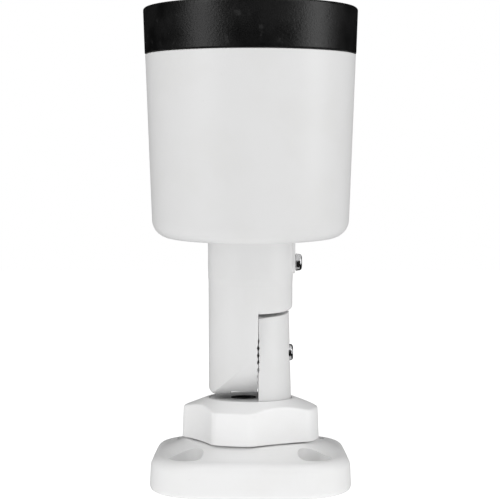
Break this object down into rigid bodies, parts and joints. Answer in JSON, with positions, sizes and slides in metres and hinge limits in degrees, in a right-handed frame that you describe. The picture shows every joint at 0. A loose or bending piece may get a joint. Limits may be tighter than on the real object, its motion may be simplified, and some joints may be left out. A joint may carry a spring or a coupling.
{
  "type": "bullet security camera",
  "caption": "Compact white bullet security camera with a black front ring, on a wall bracket that pans, tilts and rolls and is clamped by a lobed nut and two screws",
  "frame": {"origin": "centre of the base's mounting face", "axes": "+Z is the pan axis, from the mounting face up through the bracket towards the camera; -Y is the side the head leans to at rest; +X is the side of the clamp screws"},
  "size_m": [0.07, 0.0783, 0.1596],
  "materials": {
    "base_plate": "satin white coat over die-cast alloy",
    "wall_seal": "closed-cell foam",
    "locking_nut": "satin white coat over die-cast alloy",
    "thrust_washer": "natural slippery plastic",
    "lower_arm": "satin white coat over die-cast alloy",
    "cable_grommet": "matt moulded rubber",
    "upper_arm": "satin white coat over die-cast alloy",
    "hinge_insert": "machined",
    "hinge_shim": "rolled",
    "tilt_washer": "plated",
    "tilt_screw": "bright plated",
    "roll_screw": "bright plated",
    "roll_pad": "natural nylon",
    "tail_spigot": "turned",
    "tail_gasket": "moulded",
    "tail_screws": "plated",
    "cable_gland": "moulded",
    "housing": "satin white coat over die-cast alloy",
    "front_ring": "fine-grained semi-matt black",
    "ring_seal": "moulded",
    "window_gasket": "moulded",
    "front_window": "clear, polished, slightly smoked",
    "rear_posts": "turned",
    "middle_posts": "turned",
    "front_posts": "turned",
    "main_board": "green solder mask on laminate",
    "processor": "moulded black package",
    "heat_pad": "soft silicone",
    "heat_sink": "black anodised",
    "board_parts": "moulded packages",
    "connectors": "moulded cream sockets",
    "drying_bag": "fibre paper",
    "sensor_board": "green solder mask on laminate",
    "image_sensor": "package with a glass lid",
    "lens_mount": "black moulded",
    "filter_slide": "black moulded",
    "filter_panes": "coated glass",
    "lens_barrel": "black anodised",
    "lens_glass": "coated, polished",
    "lens_lock_ring": "black anodised",
    "lens_shroud": "soft moulded",
    "led_board": "black solder mask on laminate",
    "board_screws": "plated",
    "leds": "clear tinted domes",
    "light_sensor": "clear dome"
  },
  "bodies": {
    "base": {"base_plate": "base_plate", "wall_seal": "wall_seal"},
    "nut_ring": {"thrust_washer": "thrust_washer"},
    "nut": {"locking_nut": "locking_nut"},
    "swivel": {"lower_arm": "lower_arm", "cable_grommet": "cable_grommet"},
    "arm": {"upper_arm": "upper_arm", "hinge_insert": "hinge_insert", "hinge_shim": "hinge_shim"},
    "tilt_clamp": {"tilt_washer": "tilt_washer"},
    "tilt_lock": {"tilt_screw": "tilt_screw"},
    "roll_clamp": {"roll_pad": "roll_pad"},
    "roll_lock": {"roll_screw": "roll_screw"},
    "filter": {"filter_slide": "filter_slide", "filter_panes": "filter_panes"},
    "head": {"tail_spigot": "tail_spigot", "tail_gasket": "tail_gasket", "tail_screws": "tail_screws", "cable_gland": "cable_gland", "housing": "housing", "front_ring": "front_ring", "ring_seal": "ring_seal", "window_gasket": "window_gasket", "front_window": "front_window", "rear_posts": "rear_posts", "middle_posts": "middle_posts", "front_posts": "front_posts", "main_board": "main_board", "processor": "processor", "heat_pad": "heat_pad", "heat_sink": "heat_sink", "board_parts": "board_parts", "connectors": "connectors", "drying_bag": "drying_bag", "sensor_board": "sensor_board", "image_sensor": "image_sensor", "lens_mount": "lens_mount", "lens_barrel": "lens_barrel", "lens_glass": "lens_glass", "lens_lock_ring": "lens_lock_ring", "lens_shroud": "lens_shroud", "led_board": "led_board", "board_screws": "board_screws", "leds": "leds", "light_sensor": "light_sensor"}
  },
  "joints": [
    {"name": "pan", "type": "hinge", "parent": "base", "child": "swivel", "pos_m": [0, 0, 0.0225], "axis": [0, 0, 1], "range_deg": [-180, 180]},
    {"name": "tilt", "type": "hinge", "parent": "swivel", "child": "arm", "pos_m": [0, 0, 0.0432], "axis": [-1, 0, 0], "range_deg": [-4.5, 95.5]},
    {"name": "roll", "type": "hinge", "parent": "arm", "child": "head", "pos_m": [0, -0.0037, 0.08162], "axis": [0, -0.0958, 0.9954], "range_deg": [-180, 180]},
    {"name": "nut_rise", "type": "slide", "parent": "base", "child": "nut_ring", "axis": [0, 0, 1], "range_m": [0, 0.000375]},
    {"name": "nut_turn", "type": "hinge", "parent": "nut_ring", "child": "nut", "pos_m": [0, 0, 0.02], "axis": [0, 0, 1], "range_deg": [0, 90]},
    {"name": "tilt_screw_out", "type": "slide", "parent": "arm", "child": "tilt_clamp", "axis": [1, 0, 0], "range_m": [0, 0.0005]},
    {"name": "tilt_screw_turn", "type": "hinge", "parent": "tilt_clamp", "child": "tilt_lock", "pos_m": [0.0131, 0, 0.0432], "axis": [1, 0, 0], "range_deg": [0, 360]},
    {"name": "roll_screw_out", "type": "slide", "parent": "arm", "child": "roll_clamp", "axis": [1, 0, 0], "range_m": [0, 0.001]},
    {"name": "roll_screw_turn", "type": "hinge", "parent": "roll_clamp", "child": "roll_lock", "pos_m": [0.0145, -0.00291, 0.07346], "axis": [1, 0, 0], "range_deg": [0, 720]},
    {"name": "filter_shift", "type": "slide", "parent": "head", "child": "filter", "axis": [1, 0, 0], "range_m": [0, 0.0054]}
  ],
  "couplings": [
    {"joint": "nut_turn", "follows": "nut_rise", "rad_per_m": 4188.7},
    {"joint": "tilt_screw_turn", "follows": "tilt_screw_out", "rad_per_m": 12566},
    {"joint": "roll_screw_turn", "follows": "roll_screw_out", "rad_per_m": 12566}
  ]
}
